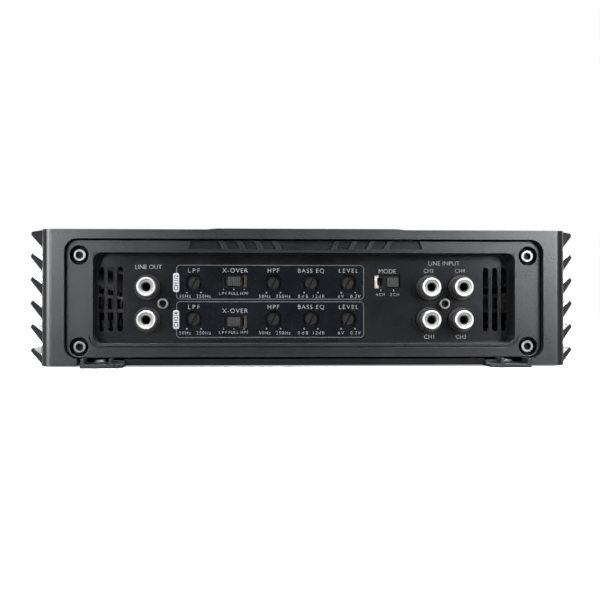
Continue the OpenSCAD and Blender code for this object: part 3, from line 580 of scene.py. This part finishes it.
def place(dst, bm, x, z, face_y, back=False, turn=0.0, lift=0.0):
    """Add bm (mm, lying in its own XY plane) to dst on the panel face, in metres."""
    m = Matrix.Rotation(math.radians(turn), 4, "Z")
    m = Matrix.Scale(INK_T, 4, (0, 0, 1)) @ m
    m = Matrix.Rotation(math.pi / 2, 4, "X") @ m
    if back:
        m = Matrix.Rotation(math.pi, 4, "Z") @ m
    sgn = 1 if back else -1
    m = Matrix.Translation((x, face_y + sgn * (INK_T / 2 - 0.005 + lift), z)) @ m
    m = Matrix.Scale(MM, 4) @ m
    bmesh.ops.transform(bm, matrix=m, verts=bm.verts)
    me = bpy.data.meshes.new("tmp")
    bm.to_mesh(me)
    dst.from_mesh(me)
    bm.free()
    bpy.data.meshes.remove(me)


def rounded_loop(w, h, r, n=6):
    pts = []
    for cx, cy, a0 in ((w / 2 - r, h / 2 - r, 0), (-w / 2 + r, h / 2 - r, 90), (-w / 2 + r, -h / 2 + r, 180), (w / 2 - r, -h / 2 + r, 270)):
        for i in range(n + 1):
            a = math.radians(a0 + 90 * i / n)
            pts.append((cx + r * math.cos(a), cy + r * math.sin(a)))
    return pts


def slab(outline, t=1.0):
    """A closed slab on an outline, z from -t/2 to t/2."""
    bm = bmesh.new()
    lo = [bm.verts.new((x, y, -t / 2)) for x, y in outline]
    hi = [bm.verts.new((x, y, t / 2)) for x, y in outline]
    n = len(outline)
    bm.faces.new(list(reversed(lo)))
    bm.faces.new(hi)
    for i in range(n):
        bm.faces.new((lo[i], lo[(i + 1) % n], hi[(i + 1) % n], hi[i]))
    return bm


def ring_slab(outer, inner, t=1.0):
    """A closed band between two outlines with the same number of points."""
    bm = bmesh.new()
    n = len(outer)
    rows = [[bm.verts.new((x, y, z)) for x, y in loop] for loop in (outer, inner) for z in (-t / 2, t / 2)]
    ol, oh, il, ih = rows
    for i in range(n):
        j = (i + 1) % n
        bm.faces.new((ol[i], ol[j], oh[j], oh[i]))
        bm.faces.new((il[j], il[i], ih[i], ih[j]))
        bm.faces.new((oh[i], oh[j], ih[j], ih[i]))
        bm.faces.new((ol[j], ol[i], il[i], il[j]))
    return bm


def frame_line(w, h, r, line):
    return ring_slab(rounded_loop(w, h, r), rounded_loop(w - 2 * line, h - 2 * line, max(r - line, 0.1)))


def dot(r, n=16):
    return slab([(r * math.cos(2 * math.pi * i / n), r * math.sin(2 * math.pi * i / n)) for i in range(n)])


FRONT = -135.8
white, line, dark, pill = bmesh.new(), bmesh.new(), bmesh.new(), bmesh.new()
LABELS = [  # word, x, z, cap height, width
    ("LINE OUT", -67.2, 42.6, 1.75, 11.4),
    ("LPF", -47.7, 41.1, 1.75, 4.9), ("LPF", -47.7, 25.4, 1.75, 4.9),
    ("X-OVER", -30.0, 41.15, 1.85, 11.0), ("X-OVER", -30.0, 23.7, 1.85, 11.0),
    ("HPF", -13.4, 41.2, 1.75, 5.0), ("HPF", -13.4, 25.4, 1.75, 5.0),
    ("BASS EQ", 2.9, 41.1, 1.75, 11.3), ("BASS EQ", 2.9, 25.4, 1.75, 11.3),
    ("LEVEL", 19.2, 41.1, 1.75, 8.4), ("LEVEL", 19.2, 25.4, 1.75, 8.4),
    ("MODE", 36.1, 40.9, 1.75, 7.4),
    ("LINE INPUT", 61.0, 44.4, 1.8, 13.7),
    ("CH2", 54.2, 41.1, 1.7, 4.3), ("CH4", 68.0, 41.1, 1.7, 4.4), ("CH1", 54.4, 12.4, 1.7, 4.3), ("CH3", 68.4, 12.4, 1.7, 4.4),
    ("4CH", 33.1, 30.8, 1.15, 3.8), ("2CH", 39.3, 30.8, 1.15, 3.8),
]
for z, zs in ((30.0, 31.2), (14.2, 14.4)):
    for x in (-47.7, -13.4):
        LABELS += [("50Hz", x - 3.8, z, 1.35, 4.9), ("250Hz", x + 4.2, z, 1.35, 6.2)]
    LABELS += [("0dB", -0.6, z, 1.35, 4.4), ("12dB", 6.2, z, 1.35, 4.9), ("6V", 15.9, z, 1.35, 2.6), ("0.2V", 22.2, z, 1.35, 4.4)]
    LABELS += [("LPF", -35.2, zs, 1.2, 3.3), ("FULL", -30.6, zs, 1.2, 4.2), ("HPF", -26.0, zs, 1.2, 3.3)]
for s, x, z, cap, w in LABELS:
    place(white, word(s, cap, w), x, z, FRONT)
for z in (31.6, 16.0):
    for x in (-47.7, -13.4, 2.9, 19.0):
        for s in (-3.05, 3.05):
            place(white, dot(0.3), x + s, z, FRONT)
for z in (33.0, 15.9):
    for x in (-34.9, -30.5, -26.1):
        place(white, dot(0.22), x, z, FRONT)
for x in (33.3, 38.9):
    place(white, slab(rounded_loop(0.3, 0.9, 0.1, 2)), x, 32.6, FRONT)
for z0, z1 in ((28.6, 43.55), (12.1, 27.8)):
    place(line, frame_line(81.2, z1 - z0, 1.6, 0.32), -14.7, (z0 + z1) / 2, FRONT)
for z, s in (((40.06 + 31.75) / 2, "CH1/2"), ((24.17 + 15.69) / 2, "CH3/4")):
    place(pill, slab(rounded_loop(2.6, 8.1, 0.8)), -55.35, z, FRONT, lift=0.02)
    place(dark, word(s, 1.6, 6.6, 0.012), -55.35, z, FRONT, turn=90, lift=0.045)

REAR = 135.8
BACK = [
    ("SPEAKERS", -36.0, 44.4, 1.9, 15.0), ("POWER INPUT", 54.0, 44.4, 1.9, 19.0), ("FUSES", 16.5, 12.3, 1.7, 8.2),
    ("+12V", 40.5, 12.0, 1.6, 6.6), ("REM", 54.0, 12.0, 1.6, 6.0), ("GND", 67.5, 12.0, 1.6, 6.0),
    ("PWR", 8.0, 47.0, 1.0, 3.4), ("PRT", 25.0, 47.0, 1.0, 3.4),
]
for i in range(8):
    BACK.append(("+" if i % 2 == 0 else "-", -67.5 + 9 * i, 12.4, 1.9, 1.5))
for i, s in enumerate(("CH4", "CH3", "CH2", "CH1")):
    BACK.append((s, -63.0 + 18 * i, 12.4, 1.5, 4.0))
for s, x, z, cap, w in BACK:
    place(white, word(s, cap, w), x, z, REAR, back=True)

new_piece("panel_legend", white, INK_WHITE.m)
new_piece("panel_frame_lines", line, INK_LINE.m)
new_piece("channel_pair_plates", pill, INK_PILL.m)
new_piece("channel_pair_legend", dark, INK_DARK.m)

# ---------------------------------------------------------------- floor, light
FLOOR_BOUNCE = 0.08  # how pale the floor is to every ray but the camera's
FLOOR_GLOW = 0.5     # lift that keeps the floor pale under weak light
bm = bmesh.new()
bmesh.ops.create_grid(bm, x_segments=8, y_segments=8, size=6.0)
me = bpy.data.meshes.new("floor")
bm.to_mesh(me)
bm.free()
floor = bpy.data.objects.new("floor", me)
scene.collection.objects.link(floor)
fl = Mat("floor_paper")
paper = fl.noise(900.0, 4.0, 0.6)
seen = fl.node("ShaderNodeLightPath").outputs["Is Camera Ray"]
pale = fl.mix(fl.remap(paper, 0.35, 0.65, 0, 1), (0.84, 0.84, 0.84), (0.88, 0.88, 0.88))
fl.set(Base_Color=fl.mix(seen, (FLOOR_BOUNCE,) * 3, pale), Roughness=fl.remap(paper, 0.3, 0.7, 0.8, 0.9),
       Specular_IOR_Level=0.1, Normal=fl.bump(paper, 0.05, 0.00005),
       Emission_Color=(1.0, 1.0, 1.0, 1.0), Emission_Strength=fl.math("MULTIPLY", seen, FLOOR_GLOW))
me.materials.append(fl.m)


def area(name, loc, target, w, h, watts):
    d = bpy.data.lights.new(name, "AREA")
    d.shape = "RECTANGLE"
    d.size, d.size_y = w, h
    d.energy = watts
    o = bpy.data.objects.new(name, d)
    scene.collection.objects.link(o)
    o.location = loc
    o.rotation_euler = (Vector(target) - Vector(loc)).to_track_quat("-Z", "Y").to_euler()
    o.visible_camera = False
    return o


def sun(name, direction, strength, angle):
    d = bpy.data.lights.new(name, "SUN")
    d.energy = strength
    d.angle = math.radians(angle)
    o = bpy.data.objects.new(name, d)
    scene.collection.objects.link(o)
    o.rotation_euler = Vector(direction).to_track_quat("-Z", "Y").to_euler()
    return o


LEFT, RIGHT = (-0.09, -0.14, 0.03), (0.09, -0.14, 0.03)
sun("overhead", (0.0, 0.05, -1.0), 1.6, 70)
area("left_low", (-0.40, -0.42, 0.08), LEFT, 0.20, 0.20, 2.0)
area("left_near", (-0.30, -0.75, 0.12), LEFT, 0.20, 0.15, 1.3)
area("left_near_high", (-0.30, -0.75, 0.25), LEFT, 0.20, 0.15, 0.9)
area("right_near_high", (0.25, -0.75, 0.25), RIGHT, 0.18, 0.15, 1.7)
area("right_out", (0.34, -0.65, 0.14), RIGHT, 0.20, 0.15, 2.2)
area("front_strip", (0.0, -0.25, 0.42), (0.0, -0.15, 0.05), 0.50, 0.05, 9.0)
area("back_high", (0.15, 0.60, 0.80), (0.0, 0.1, 0.02), 0.6, 0.5, 14.0)
area("back_left", (0.36, 0.62, 0.14), (0.09, 0.14, 0.03), 0.25, 0.20, 4.0)
area("back_right", (-0.30, 0.70, 0.16), (-0.09, 0.14, 0.03), 0.25, 0.20, 4.0)

world = bpy.data.worlds.new("studio")
scene.world = world
world.use_nodes = True
wt = world.node_tree
wt.nodes.clear()
w_out = wt.nodes.new("ShaderNodeOutputWorld")
w_tc = wt.nodes.new("ShaderNodeTexCoord")
w_dot = wt.nodes.new("ShaderNodeVectorMath")
w_dot.operation = "DOT_PRODUCT"
w_dot.inputs[1].default_value = (0.0, -1.0, 0.0)
wt.links.new(w_tc.outputs["Generated"], w_dot.inputs[0])
w_map = wt.nodes.new("ShaderNodeMapRange")
w_map.interpolation_type = "SMOOTHSTEP"
for k, x in (("From Min", -0.9), ("From Max", 0.3), ("To Min", 1.1), ("To Max", 0.02)):
    w_map.inputs[k].default_value = x
wt.links.new(w_dot.outputs["Value"], w_map.inputs["Value"])
w_room = wt.nodes.new("ShaderNodeBackground")
wt.links.new(w_map.outputs["Result"], w_room.inputs["Strength"])
w_white = wt.nodes.new("ShaderNodeBackground")
w_white.inputs["Strength"].default_value = 1.0
w_white.inputs["Color"].default_value = (1, 1, 1, 1)
w_room.inputs["Color"].default_value = (1, 1, 1, 1)
w_lp = wt.nodes.new("ShaderNodeLightPath")
w_mix = wt.nodes.new("ShaderNodeMixShader")
wt.links.new(w_lp.outputs["Is Camera Ray"], w_mix.inputs[0])
wt.links.new(w_room.outputs[0], w_mix.inputs[1])
wt.links.new(w_white.outputs[0], w_mix.inputs[2])
wt.links.new(w_mix.outputs[0], w_out.inputs[0])
